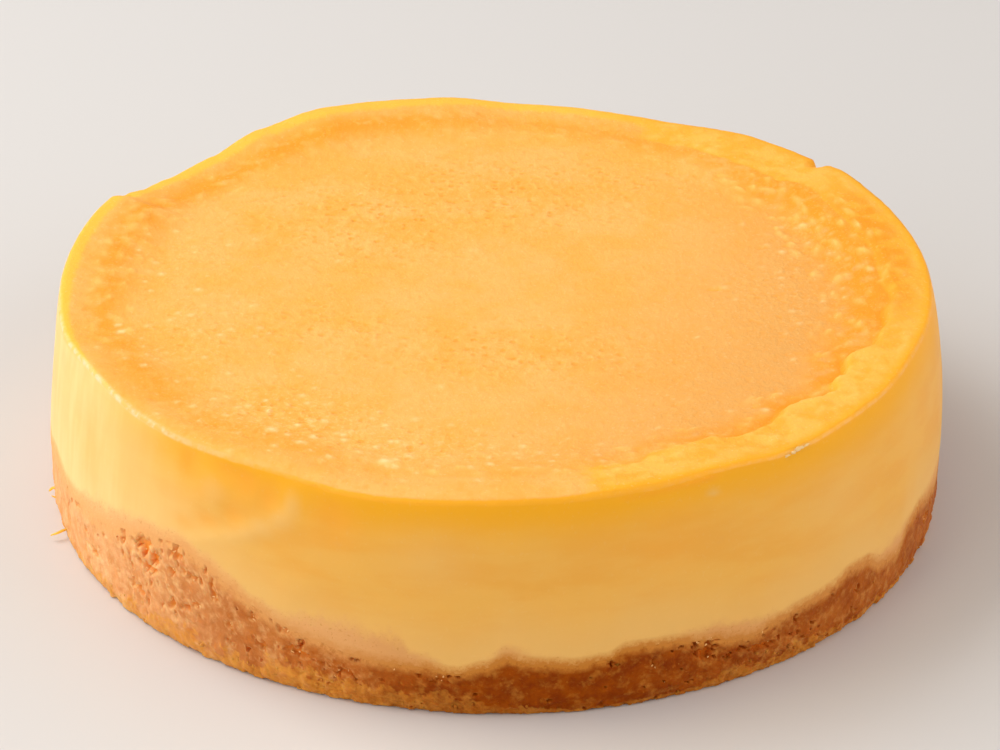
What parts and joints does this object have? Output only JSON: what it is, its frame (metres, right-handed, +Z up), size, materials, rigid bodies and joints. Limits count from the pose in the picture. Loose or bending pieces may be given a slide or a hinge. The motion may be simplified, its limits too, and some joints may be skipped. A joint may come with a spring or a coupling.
{
  "type": "baked cheesecake",
  "caption": "Round baked cheesecake, whole and uncut: a smooth pale yellow filling with a browned, sunken top and raised rim, on a pressed biscuit crumb base.",
  "frame": {"origin": "centre of the underside, on the surface the cake stands on", "axes": "+Z up through the cake, +X to its right, front towards -Y"},
  "size_m": [0.15, 0.15, 0.0381],
  "materials": {
    "cheese_filling": "soft satin, browned on top",
    "biscuit_base": "matte, crumbly"
  },
  "bodies": {
    "root": {"cheese_filling": "cheese_filling", "biscuit_base": "biscuit_base"}
  },
  "joints": []
}
